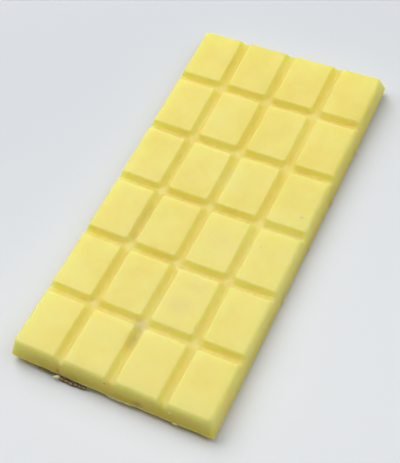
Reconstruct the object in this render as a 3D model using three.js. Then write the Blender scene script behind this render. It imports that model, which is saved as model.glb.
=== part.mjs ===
// A moulded chocolate bar of 4 x 6 blocks, lying with its moulded face up.
// Millimetres, +X across the width, +Y along the length, +Z up, origin at the middle of its base.
import * as THREE from 'three';
import { mergeVertices } from 'three/addons/utils/BufferGeometryUtils.js';

// blocks and grooves
const columns = 4;
const rows = 6;
const columnPitch = 19.0;
const rowPitch = 25.3;
const longGrooveWidth = 4.0;
const crossGrooveWidth = 3.9;
const grooveDepth = 2.0;
const grooveWallRun = 1.6;
const crossingRise = 0.24; // share of its depth by which a groove is shallower at a crossing
const blockEdgeRadius = 0.5;
const blockEdgeSteps = 2;

// whole bar
const topWidth = 72.0; // between the sharp outer edges of the tops
const topLength = 148.5;
const thickness = 7.6;
const rimRadius = 1.7;
const rimSteps = 3;
const cornerRadius = 1.8;
const longSideDraft = 1.6;
const shortSideDraft = 2.05;
const sideLevels = 2;
const edgeLift = 1.2; // the base curves up by this much towards its outline

// the bar has bowed slightly: its ends and edges stand higher than its middle
const endBow = 1.5;
const edgeBow = 0.45;
const cornerTwist = 0.35;
const flatOfBase = 0.8; // bow below this height is lost in the flat that the bar rests on

const topHalfWidth = topWidth / 2;
const topHalfLength = topLength / 2;

// Rounded edge between a level top and a wall that runs outwards by wallRun as it drops wallDrop.
// Each step is [distance outwards from the sharp edge, drop below the top].
function roundedEdge(radius, wallRun, wallDrop, steps) {
  const wallAngle = Math.atan2(wallRun, wallDrop);
  const tangent = radius * Math.tan((Math.PI / 2 - wallAngle) / 2);
  const profile = [];
  for (let step = 0; step <= steps; step++) {
    const turn = Math.PI / 2 + (wallAngle - Math.PI / 2) * (step / steps);
    profile.push([radius * Math.cos(turn) - tangent, radius - radius * Math.sin(turn)]);
  }
  return profile;
}

// A block's side as it goes down into a groove, as far as the groove's floor.
function grooveSide() {
  const rounded = roundedEdge(blockEdgeRadius, grooveWallRun, grooveDepth, blockEdgeSteps);
  return [...rounded, [grooveWallRun, grooveDepth]];
}

// Grid lines across or along the bar: each has its place and the share of the groove's depth there.
function gridLines(count, pitch, grooveWidth, outer) {
  const lines = [];
  for (const [out] of rim) {
    lines.push({ place: -outer - out, share: 0 }, { place: outer + out, share: 0 });
  }
  for (let groove = 0; groove < count - 1; groove++) {
    const centre = (groove - (count - 2) / 2) * pitch;
    for (const side of [-1, 1]) {
      const edge = centre + side * grooveWidth / 2;
      for (const [out, drop] of grooveSide()) {
        lines.push({ place: edge - side * out, share: drop / grooveDepth });
      }
    }
  }
  return lines.sort((one, two) => one.place - two.place);
}

const rim = roundedEdge(rimRadius, longSideDraft, thickness, rimSteps);
const rimWidth = rim[rim.length - 1][0];
const acrossLines = gridLines(columns, columnPitch, longGrooveWidth, topHalfWidth);
const alongLines = gridLines(rows, rowPitch, crossGrooveWidth, topHalfLength);

// Height that the bow lifts a point of the bar.
function bowAt(x, y) {
  const across = x / topHalfWidth;
  const along = y / topHalfLength;
  return endBow * along ** 2 + edgeBow * across ** 2 + cornerTwist * across * along;
}

// Drop of the rim at a distance inwards from the outline.
function rimDrop(inwards) {
  const centreInwards = rimWidth - rim[0][0];
  const reach = Math.min(Math.max(centreInwards - inwards, 0), rimRadius);
  return rimRadius - Math.sqrt(rimRadius ** 2 - reach ** 2);
}

// 1 at the outline, falling to 0 a corner's radius inside it.
function edgeShare(place, half) {
  return Math.max((Math.abs(place) - half) / cornerRadius + 1, 0);
}

// Outline with round corners: a square grid near a corner is turned into rings about its centre.
function roundCorner(x, y, halfWidth, halfLength) {
  const across = edgeShare(x, halfWidth);
  const along = edgeShare(y, halfLength);
  const ring = Math.max(across, along);
  if (across === 0 || along === 0) {
    return { x, y, ring };
  }
  const turn = across >= along
    ? (Math.PI / 4) * (along / across)
    : Math.PI / 2 - (Math.PI / 4) * (across / along);
  return {
    x: Math.sign(x) * (halfWidth - cornerRadius + cornerRadius * ring * Math.cos(turn)),
    y: Math.sign(y) * (halfLength - cornerRadius + cornerRadius * ring * Math.sin(turn)),
    ring,
  };
}

// A point of the moulded face. Towards the rim it moves out with the sides' draft as a groove drops.
function topPoint(across, along) {
  const share = 1 - (1 - across.share) * (1 - along.share);
  const drop = grooveDepth * share * (1 - crossingRise * across.share * along.share);
  const halfWidth = topHalfWidth + rimWidth;
  const halfLength = topHalfLength + rimWidth;
  const spot = roundCorner(across.place, along.place, halfWidth, halfLength);
  const inwards = cornerRadius * (1 - spot.ring);
  const wider = longSideDraft * (drop / thickness) * edgeShare(across.place, halfWidth);
  const longer = shortSideDraft * (drop / thickness) * edgeShare(along.place, halfLength);
  const x = spot.x + Math.sign(spot.x) * wider;
  const y = spot.y + Math.sign(spot.y) * longer;
  const z = thickness - drop - rimDrop(inwards) + bowAt(x, y);
  return new THREE.Vector3(x, y, z);
}

// A point of the base: flat in the middle, rising with the bow and curving up at its outline.
function basePoint(across, along) {
  const halfWidth = topHalfWidth + longSideDraft;
  const halfLength = topHalfLength + shortSideDraft;
  const wide = across.place * halfWidth / (topHalfWidth + rimWidth);
  const long = along.place * halfLength / (topHalfLength + rimWidth);
  const spot = roundCorner(wide, long, halfWidth, halfLength);
  const z = Math.max(bowAt(spot.x, spot.y) - flatOfBase, 0) + edgeLift * spot.ring ** 2;
  return new THREE.Vector3(spot.x, spot.y, z);
}

// The bar is one box whose grid follows the blocks' edges, with each point moved to its place.
function barGeometry() {
  const acrossCells = acrossLines.length - 1;
  const alongCells = alongLines.length - 1;
  const box = new THREE.BoxGeometry(
    acrossCells, alongCells, sideLevels, acrossCells, alongCells, sideLevels);
  box.deleteAttribute('normal');
  box.deleteAttribute('uv');
  const geometry = mergeVertices(box);
  const points = geometry.getAttribute('position');
  for (let index = 0; index < points.count; index++) {
    const across = acrossLines[Math.round(points.getX(index) + acrossCells / 2)];
    const along = alongLines[Math.round(points.getY(index) + alongCells / 2)];
    const level = Math.round(points.getZ(index) + sideLevels / 2) / sideLevels;
    const point = basePoint(across, along).lerp(topPoint(across, along), level);
    points.setXYZ(index, point.x, point.y, point.z);
  }
  geometry.computeVertexNormals();
  return geometry;
}

function makeBar() {
  const material = new THREE.MeshStandardMaterial({
    color: 0xf0e482,
    roughness: 0.5,
    metalness: 0,
  });
  const mesh = new THREE.Mesh(barGeometry(), material);
  mesh.name = 'bar';
  return mesh;
}

const chocolateBar = new THREE.Group();
chocolateBar.add(makeBar());

export default chocolateBar;
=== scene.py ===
import bpy
import math
import numpy as np
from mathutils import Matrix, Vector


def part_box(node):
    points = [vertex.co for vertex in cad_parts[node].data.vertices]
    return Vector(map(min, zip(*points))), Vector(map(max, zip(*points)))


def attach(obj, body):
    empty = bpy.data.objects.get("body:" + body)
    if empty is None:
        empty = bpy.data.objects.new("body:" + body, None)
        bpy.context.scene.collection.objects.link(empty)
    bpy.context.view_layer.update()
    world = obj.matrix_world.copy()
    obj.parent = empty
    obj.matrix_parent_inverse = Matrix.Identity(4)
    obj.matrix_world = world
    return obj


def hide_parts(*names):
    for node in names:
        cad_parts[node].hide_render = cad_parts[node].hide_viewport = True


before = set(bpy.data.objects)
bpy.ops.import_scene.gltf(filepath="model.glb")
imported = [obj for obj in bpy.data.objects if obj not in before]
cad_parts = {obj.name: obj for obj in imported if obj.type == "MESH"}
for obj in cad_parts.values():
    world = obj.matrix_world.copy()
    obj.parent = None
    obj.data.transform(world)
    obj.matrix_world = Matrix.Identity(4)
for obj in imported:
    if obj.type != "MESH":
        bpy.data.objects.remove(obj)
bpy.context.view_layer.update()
print("frame loaded")

mm = 0.001  # lengths below are in millimetres, and meshes are made in metres
barLow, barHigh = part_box("bar")
baseHalfWidth = (barHigh.x - barLow.x) / 2 / mm
baseHalfLength = (barHigh.y - barLow.y) / 2 / mm


# 0 below the low value, 1 above the high one, and a smooth S between them
def smoothStep(value, low, high):
    share = np.clip((value - low) / (high - low), 0, 1)
    return share * share * (3 - 2 * share)


latticeSide = 256  # points along each side of the noise's lattice, which then repeats
latticeStart = (40, 90)  # the lattice's point that lies at the origin


# Random heights between -1 and 1 on a square lattice, joined smoothly: each point mixes the
# heights of its cell's four corners by the S curve of how far across the cell it lies
def softNoise(x, y, size, seed):
    heights = np.random.default_rng(seed).uniform(-1, 1, (latticeSide, latticeSide))
    across, along = x / size + latticeStart[0], y / size + latticeStart[1]
    column, row = np.floor(across).astype(int), np.floor(along).astype(int)
    acrossShare = smoothStep(across - column, 0, 1)
    alongShare = smoothStep(along - row, 0, 1)

    def corner(columnStep, rowStep):
        return heights[(column + columnStep) % latticeSide, (row + rowStep) % latticeSide]

    near = corner(0, 0) * (1 - acrossShare) + corner(1, 0) * acrossShare
    far = corner(0, 1) * (1 - acrossShare) + corner(1, 1) * acrossShare
    return near * (1 - alongShare) + far * alongShare


# Faces between neighbouring rows and columns of a grid of points, given as their numbers
def gridFaces(numbers):
    return np.stack(
        [numbers[:-1, :-1], numbers[1:, :-1], numbers[1:, 1:], numbers[:-1, 1:]], axis=-1
    ).reshape(-1, 4)


# A smooth mesh of the points and faces, at the origin, that rides the bar's body
def makePiece(name, points, faces, material):
    mesh = bpy.data.meshes.new(name)
    mesh.from_pydata((points * mm).tolist(), [], [face for part in faces for face in part.tolist()])
    mesh.polygons.foreach_set("use_smooth", np.ones(len(mesh.polygons), bool))
    mesh.update()
    piece = bpy.data.objects.new(name, mesh)
    bpy.context.scene.collection.objects.link(piece)
    piece.data.materials.append(material)
    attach(piece, "root")
    return piece


# Hex colour as the linear shares of red, green and blue that shaders and lamps take
def linearColour(hexValue):
    shares = [int(hexValue[start:start + 2], 16) / 255 for start in (1, 3, 5)]
    return [s / 12.92 if s <= 0.04045 else ((s + 0.055) / 1.055) ** 2.4 for s in shares] + [1]


# Adds one node: settings are its properties, values and links go to its inputs by name or number
def addNode(tree, kind, settings=None, values=None, links=None):
    node = tree.nodes.new(kind)
    for key, value in (settings or {}).items():
        setattr(node, key, value)
    for key, value in (values or {}).items():
        node.inputs[key].default_value = value
    for key, source in (links or {}).items():
        tree.links.new(source, node.inputs[key])
    return node


# Lays a constant colour over another node's colour, as strongly as the share says
def mixColours(tree, share, under, over):
    mix = addNode(
        tree, "ShaderNodeMix", settings={"data_type": "RGBA"}, values={7: linearColour(over)},
        links={0: share, 6: under},
    )
    return mix.outputs[2]


# The share as a colour: a ramp through three colours that lie at the given places
def threeColours(tree, share, places, hexValues):
    ramp = addNode(tree, "ShaderNodeValToRGB", links={"Fac": share})
    ramp.color_ramp.elements.new(places[1])
    for element, place, hexValue in zip(ramp.color_ramp.elements, places, hexValues):
        element.position = place
        element.color = linearColour(hexValue)
    return ramp.outputs["Color"]


# Noise between 0 and 1 at the given place, with its cell size in mm
def noiseShare(tree, place, size, detail=2, roughness=0.5):
    noise = addNode(
        tree, "ShaderNodeTexNoise",
        values={"Scale": 1 / (size * mm), "Detail": detail, "Roughness": roughness},
        links={"Vector": place},
    )
    return noise.outputs["Fac"]


def newMaterial(name):
    material = bpy.data.materials.new(name)
    material.use_nodes = True
    material.node_tree.nodes.clear()
    return material, material.node_tree


bar = {
    "columns": 4,
    "rows": 6,
    "columnPitch": 19.0,
    "rowPitch": 25.3,
    "topWidth": 72.0,   # across the tops, between the sharp outer edges
    "topLength": 148.5,
    "longGrooveWidth": 4.0,
    "crossGrooveWidth": 3.9,
    "blockCornerRadius": 0.9,
    "blockEdgeRadius": 0.8,
    "grooveDepth": 2.0,
    "crossingRise": 0.24,   # share of the depth by which a groove is shallower at a crossing
    "crossingSpread": 2.3,
    "endRise": 0.25,   # the same where it runs out through the rim
    "endOver": (0.3, 3.5),   # distances in from the outline between which that fades
    "grooveWallRun": 1.6,   # how far a wall leans out as it drops the groove's depth
    "grooveFootRadius": 1.3,
    "thickness": 7.6,
    "rimRadius": 1.7,
    "longRimShare": 0.68,   # share of that radius along the long sides, whose rim is crisper
    "cornerRadius": 1.8,   # of the outline under the rim; the base's corners are sharper
    "baseCornerRadius": 1.1,
    "endBow": 1.5,
    "edgeBow": 0.45,
    "cornerTwist": 0.35,
    "flatOfBase": 0.8,   # bow below this height is lost in the flat that the bar rests on
    "edgeWander": 0.1,   # how far block edges stray from a straight line
    "sinkOfBlocks": 0.07,   # how far a block's middle has sunk while setting
    "sinkOver": (0.3, 6.5),   # distances in from the block's edge between which it sinks
    "blockTilt": 0.05,   # how far a block has tipped, tiltReach away from its middle
    "tiltReach": 8,
    "rippleHeight": 0.025,
    "fineRippleHeight": 0.012,
    "lip": 0.15,   # flash that stands out round the base
    "lipShares": (0.65, 0.5),   # how much of it stands out on average, and how far that varies
    "lipOver": (0.8, 0.93),   # shares of the way down the side between which it comes out
    "sideWaves": 0.06,   # how far the sides swell in and out on their way down
    "sideWavesOver": (0, 0.3),
    "footRadius": 0.6,   # the round under the lip, where the sides turn in to the back
    "edgeLift": 1.2,   # how far the back's round edge stands off the table
    "sideDents": [   # middle, reach each way and depth
        ((37.2, 22.7, 4.4), (3, 1.4, 1.1), 0.45),
        ((37.4, 19.9, 3.2), (3, 1.0, 1.3), 0.3),
        ((-19.2, -75.6, 4.5), (0.9, 3, 3.0), 0.3),
        ((10.5, -76, 4.0), (2.4, 3, 1.2), 0.25),
    ],
    "scrapeHeight": 0.05,   # scraping marks on the back, and how much longer than wide they are
    "scrapeStretch": 6,
    "pitHeight": 0.06,
    "backOver": (0.1, 1.5),   # distances in from the outline between which both come up
    "noises": {   # cell size and seed of each unevenness
        "wanderX": (5, 11),
        "wanderY": (6, 12),
        "ripple": (7, 13),
        "fineRipple": (2.2, 14),
        "lip": (2.5, 21),
        "sideWaves": (9, 22),
        "scrape": (1.6, 31),
        "pits": (8, 32),
    },
    "fineCell": 0.24,   # the mesh's cells near grooves, rim and foot, and elsewhere
    "wideCell": 1.15,
    "fineNearGroove": (2.7, 4.2),   # distances between which the cells widen
    "fineNearRim": (1.5, 2.8),
    "rimMiddle": 0.7,   # how far inside the outline the rim's middle lies
    "fineNearFoot": (0.6, 1.4),
    "ringShares": [   # how far in from the base's edge the back's rings lie
        0.004, 0.012, 0.03, 0.06, 0.1, 0.16, 0.24, 0.33, 0.43, 0.54, 0.65, 0.76, 0.87, 0.95,
    ],
}
topHalfWidth = bar["topWidth"] / 2
topHalfLength = bar["topLength"] / 2
middleColumn = (bar["columns"] - 1) / 2
middleRow = (bar["rows"] - 1) / 2
longSideDraft = baseHalfWidth - topHalfWidth
shortSideDraft = baseHalfLength - topHalfLength
rimWallAngle = math.atan2(longSideDraft, bar["thickness"])
rimTangent = bar["rimRadius"] * math.tan((math.pi / 2 - rimWallAngle) / 2)
rimWidth = bar["rimRadius"] * math.cos(rimWallAngle) - rimTangent
rimHalfWidth = topHalfWidth + rimWidth
rimHalfLength = topHalfLength + rimWidth
sideHeight = bar["thickness"] - bar["rimRadius"] * (1 - math.sin(rimWallAngle))


# Unevenness of the bar, by name
def barNoise(name, x, y):
    return softNoise(x, y, *bar["noises"][name])


# Bow and twist: the squares of the shares of the half length and half width, and their product
def bowAt(x, y):
    across, along = x / topHalfWidth, y / topHalfLength
    return bar["endBow"] * along**2 + bar["edgeBow"] * across**2 + bar["cornerTwist"] * across * along


# Drop from a block's top to its groove, by distance out from the block's sharp outline: nothing,
# then an arc of the edge's radius, then the straight wall, then a fillet into the floor. The
# floor's depth is given for each point
def grooveDrop(distance, depth):
    radius, run = bar["blockEdgeRadius"], bar["grooveWallRun"]
    wallAngle = math.atan2(run, bar["grooveDepth"])
    tangent = radius * math.tan((math.pi / 2 - wallAngle) / 2)
    reach = np.clip(distance + tangent, 0, radius * math.cos(wallAngle))
    arc = radius - np.sqrt(radius**2 - reach**2)
    wall = np.maximum(distance - radius * math.cos(wallAngle) + tangent, 0) * bar["grooveDepth"] / run
    drop = arc + wall
    blend = np.clip(0.5 + (depth - drop) / bar["grooveFootRadius"] / 2, 0, 1)
    return drop * blend + depth * (1 - blend) - bar["grooveFootRadius"] * blend * (1 - blend)


# Signed distance to the outline of the nearest block, a rectangle with round corners, that counts
# only the sides that face a groove; the bar's own rim does the rest, and there the block has no end
def blockDistance(x, y):
    noEnd = 99
    column = np.clip(np.round(x / bar["columnPitch"] + middleColumn), 0, bar["columns"] - 1)
    row = np.clip(np.round(y / bar["rowPitch"] + middleRow), 0, bar["rows"] - 1)
    awayX = x - (column - middleColumn) * bar["columnPitch"]
    awayY = y - (row - middleRow) * bar["rowPitch"]
    pastRimX = (column == 0) & (awayX < 0) | (column == bar["columns"] - 1) & (awayX > 0)
    pastRimY = (row == 0) & (awayY < 0) | (row == bar["rows"] - 1) & (awayY > 0)
    halfX = np.where(pastRimX, noEnd, (bar["columnPitch"] - bar["longGrooveWidth"]) / 2)
    halfY = np.where(pastRimY, noEnd, (bar["rowPitch"] - bar["crossGrooveWidth"]) / 2)
    radius = bar["blockCornerRadius"]
    overX, overY = np.abs(awayX) - halfX + radius, np.abs(awayY) - halfY + radius
    outside = np.hypot(np.maximum(overX, 0), np.maximum(overY, 0))
    return outside + np.minimum(np.maximum(overX, overY), 0) - radius, awayX, awayY, column, row


# Distance from each place to the nearest groove's middle line, along one axis
def grooveGap(place, count, pitch):
    groove = np.clip(np.round(place / pitch + count / 2), 1, count - 1)
    return np.abs(place - (groove - count / 2) * pitch)


# Depth of the grooves' floor: a bell of the distance to the nearest crossing makes it shallower
# there, and so does nearness to the rim
def floorDepth(x, y):
    gapX = grooveGap(x, bar["columns"], bar["columnPitch"])
    gapY = grooveGap(y, bar["rows"], bar["rowPitch"])
    crossing = bar["crossingRise"] * np.exp(-(gapX**2 + gapY**2) / bar["crossingSpread"] ** 2)
    inwards = np.minimum(rimHalfWidth - np.abs(x), rimHalfLength - np.abs(y))
    end = bar["endRise"] * (1 - smoothStep(inwards, *bar["endOver"]))
    return bar["grooveDepth"] * (1 - crossing - end)


# Height of the moulded face without its rim, and its drop from the tops. Each block is tipped its
# own way, by a sine and a cosine of its column and row
def faceHeight(x, y):
    wanderX = x + bar["edgeWander"] * barNoise("wanderX", x, y)
    wanderY = y + bar["edgeWander"] * barNoise("wanderY", x, y)
    distance, awayX, awayY, column, row = blockDistance(wanderX, wanderY)
    drop = grooveDrop(distance, floorDepth(x, y))
    inside = smoothStep(-distance, *bar["sinkOver"])
    tipX, tipY = np.sin(column * 2.3 + row * 1.7), np.cos(column * 1.9 - row * 2.9)
    tilt = bar["blockTilt"] * (tipX * awayX + tipY * awayY) / bar["tiltReach"]
    ripple = bar["rippleHeight"] * barNoise("ripple", x, y)
    ripple = ripple + bar["fineRippleHeight"] * barNoise("fineRipple", x, y)
    onBlock = 1 - drop / bar["grooveDepth"]
    height = bar["thickness"] - drop - bar["sinkOfBlocks"] * inside + tilt * onBlock + ripple
    return height, drop


# Grid lines from one base edge over the bar to the other, as distance along the surface. Their
# spacing is fine near grooves, rims and feet and wide elsewhere: a density is summed up and shared
# evenly
def surfaceLines(count, pitch, halfSize):
    samples = 6001
    reach = halfSize + sideHeight
    place = np.linspace(-reach, reach, samples)
    grooves = (np.arange(count - 1) - (count - 2) / 2) * pitch
    nearest = np.min(np.abs(place[:, None] - grooves[None, :]), axis=1)
    fromRim = np.abs(np.abs(place) - (halfSize - bar["rimMiddle"]))
    fromFoot = reach - np.abs(place)
    fine = np.maximum.reduce([
        1 - smoothStep(nearest, *bar["fineNearGroove"]),
        1 - smoothStep(fromRim, *bar["fineNearRim"]),
        1 - smoothStep(fromFoot, *bar["fineNearFoot"]),
    ])
    density = 1 / (bar["wideCell"] * (1 - fine) + bar["fineCell"] * fine)
    total = np.concatenate([[0], np.cumsum((density[1:] + density[:-1]) / 2 * np.diff(place))])
    return np.interp(np.linspace(0, total[-1], int(total[-1]) + 1), total, place)


# The moulded face and the sides as one sheet laid over the bar: inside the rim a line's distance
# is its place, past it the distance runs down the side. Near a corner the square grid turns into
# quarter rings about the corner's centre. A side point lies on the straight line from the rim's
# end to the base's edge, swells out into the lip near its foot and turns in below it in a
# quarter circle. Each dent pushes the sides in by a bell of the distance from its middle
def coveredSurface(lineX, lineY):
    radius = bar["cornerRadius"]
    shareX = np.maximum((np.abs(lineX) - rimHalfWidth) / radius + 1, 0)
    shareY = np.maximum((np.abs(lineY) - rimHalfLength) / radius + 1, 0)
    ring = np.maximum(shareX, shareY)
    turn = np.where(
        shareX >= shareY,
        math.pi / 4 * shareY / np.maximum(shareX, 1e-9),
        math.pi / 2 - math.pi / 4 * shareX / np.maximum(shareY, 1e-9),
    )
    outX = np.sign(lineX) * np.cos(turn) * (ring > 0)
    outY = np.sign(lineY) * np.sin(turn) * (ring > 0)
    coreX = np.clip(lineX, -rimHalfWidth + radius, rimHalfWidth - radius)
    coreY = np.clip(lineY, -rimHalfLength + radius, rimHalfLength - radius)
    onTop = np.minimum(ring, 1)
    topX, topY = coreX + radius * onTop * outX, coreY + radius * onTop * outY
    height, drop = faceHeight(topX, topY)
    topX = topX + outX * np.minimum(shareX, 1) * longSideDraft * drop / bar["thickness"]
    topY = topY + outY * np.minimum(shareY, 1) * shortSideDraft * drop / bar["thickness"]
    rimRadius = bar["rimRadius"] * (1 - (1 - bar["longRimShare"]) * outX**2)
    reach = np.clip(rimRadius * math.cos(rimWallAngle) - radius * (1 - onTop), 0, rimRadius)
    rimDrop = rimRadius - np.sqrt(rimRadius**2 - reach**2)
    topZ = height - rimDrop + bowAt(topX, topY)

    down = np.clip((ring - 1) * radius / sideHeight, 0, 1)
    baseRadius = bar["baseCornerRadius"]
    baseX = coreX * (baseHalfWidth - baseRadius) / (rimHalfWidth - radius) + baseRadius * outX
    baseY = coreY * (baseHalfLength - baseRadius) / (rimHalfLength - radius) + baseRadius * outY
    baseZ = baseHeight(baseX, baseY) + bar["edgeLift"]
    run = topX * 0.7 + topY  # a distance round the bar for the uneven lip and the waves
    lipMean, lipVaries = bar["lipShares"]
    lipShare = lipMean + lipVaries * barNoise("lip", run, topX - topY)
    swell = bar["lip"] * lipShare * smoothStep(down, *bar["lipOver"])
    waves = bar["sideWaves"] * barNoise("sideWaves", run, topZ * 2 + down * 9)
    swell = swell + waves * smoothStep(down, *bar["sideWavesOver"])
    foot = np.clip(1 - (1 - down) * sideHeight / bar["footRadius"], 0, 1)
    swell = swell - bar["footRadius"] * (1 - np.sqrt(1 - foot**2))
    x = topX + (baseX - topX) * down + swell * outX
    y = topY + (baseY - topY) * down + swell * outY
    z = topZ + (baseZ - topZ) * down
    for middle, radii, depth in bar["sideDents"]:
        apart = [(axis - centre) / reach for axis, centre, reach in zip((x, y, z), middle, radii)]
        dent = depth * np.exp(-sum(share**2 for share in apart))
        x, y = x - outX * dent, y - outY * dent
    return np.stack([x, y, z], axis=-1)


# Height of the base: flat in the middle, rising with the bow past the flat
def baseHeight(x, y):
    return np.maximum(bowAt(x, y) - bar["flatOfBase"], 0)


# The poured back, as rings drawn in from the base's edge to the middle, which curves up near that
# edge by the square of the nearness; it has fine scraping marks and shallow pits, none lower than
# what the bar rests on
def backRings(edge, shares):
    plan = edge[None, :, :2] * shares[:, None, None]
    x, y = plan[..., 0], plan[..., 1]
    inwards = (1 - shares[:, None]) * baseHalfWidth
    scrape = bar["scrapeHeight"] * (1 + barNoise("scrape", x, y / bar["scrapeStretch"]))
    scrape = scrape + bar["pitHeight"] * (1 + barNoise("pits", x, y))
    lift = bar["edgeLift"] * np.clip(1 - inwards / bar["cornerRadius"], 0, 1) ** 2
    z = baseHeight(x, y) + lift + scrape * smoothStep(inwards, *bar["backOver"])
    return np.stack([x, y, z], axis=-1)


def buildBar(material):
    linesX = surfaceLines(bar["columns"], bar["columnPitch"], rimHalfWidth)
    linesY = surfaceLines(bar["rows"], bar["rowPitch"], rimHalfLength)
    lineX, lineY = np.meshgrid(linesX, linesY, indexing="ij")
    sheet = coveredSurface(lineX, lineY)
    numbers = np.arange(lineX.size).reshape(lineX.shape)
    edgeNumbers = np.concatenate(
        [numbers[:-1, 0], numbers[-1, :-1], numbers[:0:-1, -1], numbers[0, :0:-1]]
    )
    edge = sheet.reshape(-1, 3)[edgeNumbers]
    rings = backRings(edge, 1 - np.array(bar["ringShares"]))
    middle = lineX.size + rings.shape[0] * rings.shape[1]
    ownNumbers = np.arange(lineX.size, middle).reshape(rings.shape[:2])
    ringNumbers = np.concatenate([edgeNumbers[None, :], ownNumbers])
    ringNumbers = np.concatenate([ringNumbers, ringNumbers[:, :1]], axis=1)
    fan = np.stack(
        [np.full(len(edge), middle), ringNumbers[-1, 1:], ringNumbers[-1, :-1]], axis=-1
    )
    middlePoint = [[0, 0, baseHeight(0, 0) + bar["scrapeHeight"]]]
    points = np.concatenate([sheet.reshape(-1, 3), rings.reshape(-1, 3), middlePoint])
    faces = [gridFaces(numbers), gridFaces(ringNumbers), fan]
    piece = makePiece("chocolate_bar", points, faces, material)
    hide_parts("bar")
    print("bar made:", len(points), "points")


lump = {
    "rings": 7,
    "segments": 12,
    "hollow": 0.55,   # height of a lump's middle, as a share of its half height
}


# Balls of rings and segments, each point strayed at random, stretched to their half sizes, turned
# about Z, tilted towards the near end and moved to their middles. Their two faces are hollowed so
# that the rim stands up. Returns points, faces and how near each point is to its ball's rim
def lumps(middles, halfSizes, turns, tilts, dented, seed):
    rise = np.linspace(-math.pi / 2, math.pi / 2, lump["rings"] + 2)[1:-1]
    around = np.linspace(0, 2 * math.pi, lump["segments"], endpoint=False)
    ring = np.cos(rise)[:, None] * np.ones(len(around))
    ballX, ballY = ring * np.cos(around), ring * np.sin(around)
    ballZ = np.sin(rise)[:, None] * (lump["hollow"] + (1 - lump["hollow"]) * ring)
    ball = np.stack([ballX, ballY, ballZ], axis=-1).reshape(-1, 3)
    ball = np.concatenate([ball, [[0, 0, -lump["hollow"]], [0, 0, lump["hollow"]]]])
    rim = np.concatenate([ring.ravel(), [0, 0]])
    count, size = len(middles), len(ball)
    middles, halfSizes = np.array(middles), np.array(halfSizes)
    stray = np.random.default_rng(seed).uniform(-dented, dented, (count, size, 3))
    points = (ball[None] + stray) * halfSizes[:, None, :]
    turn, tilt = np.radians(turns)[:, None], np.radians(tilts)[:, None]
    x = points[..., 0] * np.cos(turn) - points[..., 1] * np.sin(turn)
    flatY = points[..., 0] * np.sin(turn) + points[..., 1] * np.cos(turn)
    y = flatY * np.cos(tilt) - points[..., 2] * np.sin(tilt)
    z = flatY * np.sin(tilt) + points[..., 2] * np.cos(tilt)
    points = np.stack([x, y, z], axis=-1) + middles[:, None, :]
    numbers = np.arange(ring.size).reshape(ring.shape)
    numbers = np.concatenate([numbers, numbers[:, :1]], axis=1)
    sides = gridFaces(numbers.T)
    foot = np.full(len(around), ring.size)
    low = np.stack([foot, numbers[0, 1:], numbers[0, :-1]], axis=-1)
    high = np.stack([foot + 1, numbers[-1, :-1], numbers[-1, 1:]], axis=-1)
    shift = np.arange(count)[:, None, None] * size
    faces = [(part[None] + shift).reshape(-1, part.shape[1]) for part in (sides, low, high)]
    return points.reshape(-1, 3), faces, np.tile(rim, count)


# Bits of the bar's own chocolate: on its surface, as distances across and along it the way the
# grid lines count them, or free at the edge of the back; then half sizes and turn in degrees
paleCrumbs = {
    "onSurface": [
        (32.2, 7.2, (0.5, 0.3, 0.25), 20),
        (32.5, 52.2, (0.45, 0.35, 0.3), 60),
        (-25.0, -75.1, (0.4, 0.35, 0.35), 0),
        (21.7, -76.0, (0.4, 0.3, 0.35), 30),
        (8.0, -12.0, (0.18, 0.15, 0.12), 0),
        (-6.0, 33.0, (0.2, 0.14, 0.12), 50),
    ],
    "atEdge": [
        ((-19.6, -76.95, 1.75), (1.25, 0.55, 0.4), 22),
        ((37.75, 44.6, 2.0), (0.45, 0.7, 0.4), 10),
        ((37.6, 41.0, 1.7), (0.3, 0.6, 0.25), -8),
        ((37.7, 21.2, 0.9), (0.3, 1.2, 0.25), 4),
        ((37.65, 14.5, 0.85), (0.3, 0.9, 0.22), -6),
        ((37.65, 0.8, 0.85), (0.3, 1.3, 0.22), 5),
        ((37.7, -22.0, 1.0), (0.3, 1.0, 0.22), 0),
        # Three thin pieces along the near base edge, whose pale colour is a painted highlight for the
        # line of light that the lip catches there
        ((0.9, -76.38, 2.2), (1.7, 0.22, 0.16), -3),
        ((4.0, -76.38, 2.2), (1.6, 0.2, 0.15), 2),
        ((6.9, -76.38, 2.25), (1.5, 0.22, 0.16), -2),
        ((24.0, -76.4, 2.4), (1.0, 0.3, 0.22), 5),
    ],
    "dented": 0.12,
    "seed": 41,
}


# Middles, half sizes and turns of the spots, those given on the surface and those given freely
def spotLists(onSurface, free):
    lineX, lineY = np.array([spot[:2] for spot in onSurface]).T
    middles = [spot[0] for spot in free], coveredSurface(lineX, lineY).tolist()
    sizes = [spot[1] for spot in free], [spot[2] for spot in onSurface]
    turns = [spot[2] for spot in free], [spot[3] for spot in onSurface]
    return middles, sizes, turns


def buildPaleCrumbs(material):
    middles, sizes, turns = [
        onSurface + free for free, onSurface in spotLists(paleCrumbs["onSurface"], paleCrumbs["atEdge"])
    ]
    level = np.zeros(len(turns))
    dented, seed = paleCrumbs["dented"], paleCrumbs["seed"]
    points, faces = lumps(middles, sizes, turns, level, dented, seed)[:2]
    makePiece("pale_crumbs", points, faces, material)
    print("pale crumbs made:", len(middles))


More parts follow.
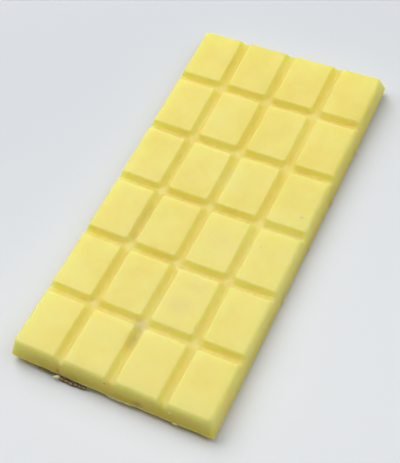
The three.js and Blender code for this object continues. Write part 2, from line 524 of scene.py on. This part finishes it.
# Brown flakes of topping: a chain of them shows under the near edge, a few thin ones lie beside it,
# specks sit on the bar, and the back has more of them sunk into it, level with its skin
topping = {
    "chain": [
        ((-17.9, -76.75, 1.35), (1.25, 0.65, 0.3), -25),
        ((-16.1, -76.8, 1.2), (1.3, 0.62, 0.3), 20),
        ((-14.3, -76.9, 1.1), (1.25, 0.7, 0.3), -8),
        ((-12.6, -76.75, 1.15), (1.15, 0.6, 0.3), 30),
        ((-11.0, -76.75, 1.1), (1.15, 0.6, 0.3), -12),
        ((-9.4, -76.65, 1.15), (1.1, 0.4, 0.3), 6),
        ((-25.6, -76.3, 1.9), (1.3, 0.3, 0.2), 5),
        ((-23.4, -76.3, 1.8), (1.4, 0.25, 0.2), -4),
        ((-21.3, -76.35, 1.7), (1.2, 0.28, 0.2), 4),
    ],
    "specks": [
        (-1.6, -74.6, (0.25, 0.2, 0.15), 0),
        (24.0, -9.1, (0.16, 0.12, 0.1), 0),
        (5.0, 60.0, (0.12, 0.12, 0.1), 0),
    ],
    "chainTilt": 50,   # degrees towards the near end
    "sunkCount": 60,
    "sunkDepth": 0.24,   # how far over the back's lowest skin the middles of the sunk ones lie
    "sunkInset": 5,   # none lies nearer to the base's edge than this
    "sunkHalfLengths": (0.8, 1.5),
    "sunkHalfWidths": (0.5, 0.9),
    "sunkHalfHeight": 0.3,
    "sunkSeed": 51,
    "dented": 0.08,
    "seed": 52,
}


def buildTopping(material):
    random = np.random.default_rng(topping["sunkSeed"])
    count = topping["sunkCount"]
    reachX, reachY = baseHalfWidth - topping["sunkInset"], baseHalfLength - topping["sunkInset"]
    x, y = random.uniform(-reachX, reachX, count), random.uniform(-reachY, reachY, count)
    sunk = np.stack([x, y, baseHeight(x, y) + topping["sunkDepth"]], axis=-1)
    halfLengths = random.uniform(*topping["sunkHalfLengths"], count)
    halfWidths = random.uniform(*topping["sunkHalfWidths"], count)
    sunkSizes = np.stack([halfLengths, halfWidths, np.full(count, topping["sunkHalfHeight"])], axis=-1)
    sunkLists = sunk.tolist(), sunkSizes.tolist(), random.uniform(0, 180, count).tolist()
    middles, sizes, turns = [
        chain + specks + flakes
        for (chain, specks), flakes in zip(spotLists(topping["specks"], topping["chain"]), sunkLists)
    ]
    tilts = [topping["chainTilt"]] * len(topping["chain"]) + [0] * (len(topping["specks"]) + count)
    points, faces, rim = lumps(middles, sizes, turns, tilts, topping["dented"], topping["seed"])
    piece = makePiece("topping_crumbs", points, faces, material)
    shade = piece.data.attributes.new("rim", "FLOAT", "POINT")
    shade.data.foreach_set("value", rim)
    print("topping made:", len(middles))


# White chocolate turned out of a plastic mould: a waxy, half matt skin, light glows a little way
# into it, and its colour is faintly clouded where cocoa butter has set at different rates
chocolateLook = {
    "colour": "#f7e375",
    "cloud": "#f2de6c",
    "pale": "#f9e67e",
    "paintedShadeDrift": 0.12,   # painted shading: how much paler the near end and darker the far end are than the middle, as a share of the clouds
    # Painted shade: a deeper, more saturated yellow that stands in for the shade on the sides and the
    # back
    "paintedShade": "#ecd43c",
    "paintedShadeShare": 0.55,   # how far the sides and the back take the painted shade
    "paintedShadeOver": (5.5, 2.5),   # heights between which they take it on
    "roughness": 0.48,
    "shine": 0.5,
    "glow": 1.0,
    "glowDepth": 15.0,   # how far in the light goes
}

# Bits broken off it, too small for light to travel far in them. Their paler, whiter colour is partly a
# painted highlight, standing in for the light these bits catch at the bar's edge
crumbLookWithPaintedHighlight = {
    "colour": "#f6f0c2",
    "cloud": "#efe7ae",
    "pale": "#faf5d4",
    "paintedShadeDrift": 0.0,
    "roughness": 0.6,
    "shine": 0.5,
    "glow": 0.1,
    "glowDepth": 0.6,
}


# What both have in common: sizes in mm of the clouds, of the skin's fine grain and of the patches
# that break up the marks
chocolateSkin = {
    "cloudSize": 14,
    "cloudDetail": 3,
    "cloudRoughness": 0.55,
    "cloudShares": (0.35, 0.5, 0.65),   # noise at which the three colours lie
    "grainSize": 0.7,
    "grainStrength": 0.12,
    "grainHeight": 0.1,
    "patchSize": 2.5,
    "patchOver": (0.3, 0.7),   # noise between which a mark goes from its weakest to its strongest
    "patchStrength": (0.8, 1.15),
    "lightBend": 1.46,
    "glowColour": (0.6, 0.85, 0.4),
}


# Dull marks, darker brown patches at the near face's dents, and painted shade on the near end, a deeper
# yellow standing in for the near face's shade: middle and half size in mm, how strongly they show, and
# their colour
marksAndPaintedShade = [
    # Painted shade: the near face lies in shade, and this deeper yellow stands in for it
    {"middle": (0, -78.5, 4.3), "half": (120, 8, 5.6), "strength": 1.0, "colour": "#f0d026"},
    {"middle": (-18.8, -13, 7), "half": (3.2, 11, 9), "strength": 0.22, "colour": "#b8b264"},
    {"middle": (-19.0, -21.0, 7), "half": (2.6, 3.2, 9), "strength": 0.3, "colour": "#b3a652"},
    {"middle": (-0.6, -51.4, 7), "half": (4.2, 4.0, 9), "strength": 0.5, "colour": "#b9b27c"},
    {"middle": (-0.2, -57.0, 7), "half": (3.6, 6.0, 9), "strength": 0.36, "colour": "#aaa455"},
    {"middle": (8.6, -40.4, 9), "half": (7, 6, 9), "strength": 0.22, "colour": "#cfc68a"},
    {"middle": (10.9, -31.0, 9), "half": (6, 5, 9), "strength": 0.15, "colour": "#cfc68a"},
    {"middle": (9.9, -10.9, 9), "half": (6, 6, 9), "strength": 0.12, "colour": "#cfc68a"},
    {"middle": (16.75, -45.5, 8), "half": (0.6, 4.6, 9), "strength": 0.32, "colour": "#b8a45e"},
    {"middle": (10.3, -76.0, 3.8), "half": (3.0, 3, 2.2), "strength": 0.4, "colour": "#a88a4e"},
    {"middle": (-19.2, -75.9, 3.4), "half": (1.2, 3, 2.2), "strength": 0.35, "colour": "#a8955a"},
]


# Lays the marks and the near end's painted shade over a colour: each fades out from its middle as a
# stretched ball, broken up by noise
def withMarksAndPaintedShade(tree, place, colour):
    patchLow, patchHigh = chocolateSkin["patchOver"]
    weakest, strongest = chocolateSkin["patchStrength"]
    patches = addNode(
        tree, "ShaderNodeMapRange",
        values={"From Min": patchLow, "From Max": patchHigh, "To Min": weakest, "To Max": strongest},
        links={"Value": noiseShare(tree, place, chocolateSkin["patchSize"])},
    )
    for markOrShade in marksAndPaintedShade:
        middle, half = markOrShade["middle"], markOrShade["half"]
        local = addNode(
            tree, "ShaderNodeMapping",
            values={
                "Location": [-m / h for m, h in zip(middle, half)],
                "Scale": [1 / (h * mm) for h in half],
            },
            links={"Vector": place},
        )
        distance = addNode(
            tree, "ShaderNodeVectorMath", settings={"operation": "LENGTH"},
            links={0: local.outputs["Vector"]},
        )
        fade = addNode(
            tree, "ShaderNodeMapRange", settings={"interpolation_type": "SMOOTHSTEP"},
            values={"From Min": 1.0, "From Max": 0.1, "To Max": markOrShade["strength"]},
            links={"Value": distance.outputs["Value"]},
        )
        amount = addNode(
            tree, "ShaderNodeMath", settings={"operation": "MULTIPLY", "use_clamp": True},
            links={0: fade.outputs["Result"], 1: patches.outputs["Result"]},
        )
        colour = mixColours(tree, amount.outputs["Value"], colour, markOrShade["colour"])
    return colour


# Mixes in the painted shade, a deeper yellow that stands in for the shade on the sides and the back,
# from the moulded face down to the foot of the sides
def paintedShadeBelow(tree, place, colour):
    high, low = chocolateLook["paintedShadeOver"]
    height = addNode(tree, "ShaderNodeSeparateXYZ", links={"Vector": place})
    share = addNode(
        tree, "ShaderNodeMapRange", settings={"interpolation_type": "SMOOTHSTEP"},
        values={"From Min": high * mm, "From Max": low * mm, "To Max": chocolateLook["paintedShadeShare"]},
        links={"Value": height.outputs["Z"]},
    )
    return mixColours(tree, share.outputs["Result"], colour, chocolateLook["paintedShade"])


def whiteChocolate(name, look, ofBar):
    material, tree = newMaterial(name)
    place = addNode(tree, "ShaderNodeTexCoord").outputs["Object"]
    clouds = noiseShare(
        tree, place, chocolateSkin["cloudSize"], chocolateSkin["cloudDetail"],
        chocolateSkin["cloudRoughness"],
    )
    along = addNode(tree, "ShaderNodeSeparateXYZ", links={"Vector": place})
    # Painted shading along the bar: the far end darker and the near end paler, standing in for the
    # light falling off toward the far end
    paintedShadeDrift = addNode(
        tree, "ShaderNodeMapRange",
        values={
            "From Min": -baseHalfLength * mm, "From Max": baseHalfLength * mm,
            "To Min": look["paintedShadeDrift"], "To Max": -look["paintedShadeDrift"],
        },
        links={"Value": along.outputs["Y"]},
    )
    tone = addNode(
        tree, "ShaderNodeMath", settings={"operation": "ADD"},
        links={0: clouds, 1: paintedShadeDrift.outputs["Result"]},
    )
    tones = [look["cloud"], look["colour"], look["pale"]]
    colour = threeColours(tree, tone.outputs["Value"], chocolateSkin["cloudShares"], tones)
    if ofBar:
        colour = withMarksAndPaintedShade(tree, place, paintedShadeBelow(tree, place, colour))
    bump = addNode(
        tree, "ShaderNodeBump",
        values={
            "Strength": chocolateSkin["grainStrength"],
            "Distance": chocolateSkin["grainHeight"] * mm,
        },
        links={"Height": noiseShare(tree, place, chocolateSkin["grainSize"])},
    )
    shader = addNode(
        tree, "ShaderNodeBsdfPrincipled",
        values={
            "Roughness": look["roughness"], "IOR": chocolateSkin["lightBend"],
            "Specular IOR Level": look["shine"],
            "Subsurface Weight": look["glow"], "Subsurface Radius": chocolateSkin["glowColour"],
            "Subsurface Scale": look["glowDepth"] * mm,
        },
        links={"Base Color": colour, "Normal": bump.outputs["Normal"]},
    )
    addNode(tree, "ShaderNodeOutputMaterial", links={"Surface": shader.outputs["BSDF"]})
    return material


# Toasted flakes of nut skin: dark brown round the rim, pale in the middle
toppingLook = {
    "rim": "#2c1b0a",
    "between": "#6f4f20",
    "middle": "#c2a66c",
    "shares": (0.55, 0.74, 0.92),   # of the way from middle to rim at which the three colours lie
    "speckleSize": 0.5,
    "speckle": 0.15,
    "roughness": 0.55,
    "lightBend": 1.46,
}


def nutCrumb():
    material, tree = newMaterial("nut_crumb_toasted")
    place = addNode(tree, "ShaderNodeTexCoord").outputs["Object"]
    rim = addNode(tree, "ShaderNodeAttribute", settings={"attribute_name": "rim"})
    uneven = addNode(
        tree, "ShaderNodeMapRange",
        values={"To Min": -toppingLook["speckle"], "To Max": toppingLook["speckle"]},
        links={"Value": noiseShare(tree, place, toppingLook["speckleSize"])},
    )
    share = addNode(
        tree, "ShaderNodeMath", settings={"operation": "ADD"},
        links={0: rim.outputs["Fac"], 1: uneven.outputs["Result"]},
    )
    tones = [toppingLook["middle"], toppingLook["between"], toppingLook["rim"]]
    colour = threeColours(tree, share.outputs["Value"], toppingLook["shares"], tones)
    shader = addNode(
        tree, "ShaderNodeBsdfPrincipled",
        values={"Roughness": toppingLook["roughness"], "IOR": toppingLook["lightBend"]},
        links={"Base Color": colour},
    )
    addNode(tree, "ShaderNodeOutputMaterial", links={"Surface": shader.outputs["BSDF"]})
    return material


# The table and the camera: lengths in metres, turns in degrees
stage = {
    "floorSize": 60.0,
    "litReach": 0.25,   # the floor is lit as far as this, and is all room past the next
    "roomFrom": 0.9,
    "roomTone": "#dfe3e5",
    "floorRoughness": 0.7,
    "floorShine": 0.2,
    "viewTurn": -33,
    "paintedShadeFrom": -0.11,   # places along the view between which the near tone turns into the far one's painted shade
    "paintedShadeTo": 0.1,
    "nearTone": "#f0f1f1",
    # Painted shade: the far tone is greyer, standing in for the light falling off toward the far side
    "farPaintedShadeTone": "#dddfe2",
    "cameraPlace": (0.11386, -0.17262, 0.30364),
    "cameraTurn": (33.115, 5.892, 25.806),
    "lens": 79.86,
    "clipStart": 0.01,
}


# Matt card, with painted shade: a little greyer toward its far side, standing in for the light falling
# off there. Away from the bar, where the lamps don't reach, it passes over into the even pale tone of
# the room
def floorPaint():
    material, tree = newMaterial("floor_matt_card")
    place = addNode(tree, "ShaderNodeTexCoord").outputs["Object"]
    turned = addNode(
        tree, "ShaderNodeMapping", values={"Rotation": (0, 0, math.radians(stage["viewTurn"]))},
        links={"Vector": place},
    )
    along = addNode(tree, "ShaderNodeSeparateXYZ", links={"Vector": turned.outputs["Vector"]})
    share = addNode(
        tree, "ShaderNodeMapRange", settings={"interpolation_type": "SMOOTHSTEP"},
        values={"From Min": stage["paintedShadeFrom"], "From Max": stage["paintedShadeTo"]},
        links={"Value": along.outputs["Y"]},
    )
    ramp = addNode(tree, "ShaderNodeValToRGB", links={"Fac": share.outputs["Result"]})
    ramp.color_ramp.elements[0].color = linearColour(stage["nearTone"])
    ramp.color_ramp.elements[1].color = linearColour(stage["farPaintedShadeTone"])
    shader = addNode(
        tree, "ShaderNodeBsdfPrincipled",
        values={"Roughness": stage["floorRoughness"], "Specular IOR Level": stage["floorShine"]},
        links={"Base Color": ramp.outputs["Color"]},
    )
    room = addNode(tree, "ShaderNodeEmission", values={"Color": linearColour(stage["roomTone"])})
    away = addNode(tree, "ShaderNodeVectorMath", settings={"operation": "LENGTH"}, links={0: place})
    reach = addNode(
        tree, "ShaderNodeMapRange", settings={"interpolation_type": "SMOOTHSTEP"},
        values={"From Min": stage["litReach"], "From Max": stage["roomFrom"]},
        links={"Value": away.outputs["Value"]},
    )
    surface = addNode(
        tree, "ShaderNodeMixShader",
        links={0: reach.outputs["Result"], 1: shader.outputs["BSDF"], 2: room.outputs["Emission"]},
    )
    addNode(tree, "ShaderNodeOutputMaterial", links={"Surface": surface.outputs["Shader"]})
    return material


def buildStage():
    half = stage["floorSize"] / 2
    mesh = bpy.data.meshes.new("floor")
    corners = [(-half, -half, 0), (half, -half, 0), (half, half, 0), (-half, half, 0)]
    mesh.from_pydata(corners, [], [(0, 1, 2, 3)])
    floor = bpy.data.objects.new("floor", mesh)
    bpy.context.scene.collection.objects.link(floor)
    mesh.materials.append(floorPaint())
    camera = bpy.data.objects.new("camera", bpy.data.cameras.new("camera"))
    camera.location = stage["cameraPlace"]
    camera.rotation_euler = [math.radians(angle) for angle in stage["cameraTurn"]]
    camera.data.lens = stage["lens"]
    camera.data.clip_start = stage["clipStart"]
    bpy.context.scene.collection.objects.link(camera)
    bpy.context.scene.camera = camera


# Round lamps on a dome about the bar, aimed at it: azimuth 0 is behind the bar and 90 is on its
# right. Each has its azimuth and elevation in degrees and its power in watts
lamps = {
    "distance": 1.4,
    "size": 1.0,
    "colour": "#fbfdff",
    "places": {
        "left": (270, 45, 5.2),
        "behind_left": (315, 45, 5.9),
        "high_behind_left": (315, 68, 7.6),
        "behind_right": (45, 45, 3.6),
        "right": (90, 45, 2.8),
        "high_right": (90, 68, 1.5),
    },
}


def areaLight(name, azimuth, elevation, power):
    light = bpy.data.lights.new(name, "AREA")
    light.shape = "DISK"
    light.size = lamps["size"]
    light.energy = power
    light.color = linearColour(lamps["colour"])[:3]
    lamp = bpy.data.objects.new(name, light)
    turn, rise = math.radians(azimuth), math.radians(elevation)
    lamp.location = [
        lamps["distance"] * part
        for part in (math.sin(turn) * math.cos(rise), math.cos(turn) * math.cos(rise), math.sin(rise))
    ]
    lamp.rotation_euler = (-lamp.location).to_track_quat("-Z", "Y").to_euler()
    bpy.context.scene.collection.objects.link(lamp)


# The room is only seen: the lamps alone give light
def buildLight():
    world = bpy.data.worlds.new("soft_room")
    world.use_nodes = True
    room = world.node_tree.nodes["Background"]
    room.inputs["Color"].default_value = linearColour(stage["roomTone"])
    seen = addNode(world.node_tree, "ShaderNodeLightPath")
    world.node_tree.links.new(seen.outputs["Is Camera Ray"], room.inputs["Strength"])
    bpy.context.scene.world = world
    for name, (azimuth, elevation, power) in lamps["places"].items():
        areaLight(name, azimuth, elevation, power)
    bpy.context.scene.view_settings.view_transform = "Standard"


buildStage()
buildLight()
print("stage and light made")
buildBar(whiteChocolate("white_chocolate_moulded", chocolateLook, True))
buildPaleCrumbs(whiteChocolate("white_chocolate_crumbled_painted_highlight", crumbLookWithPaintedHighlight, False))
buildTopping(nutCrumb())
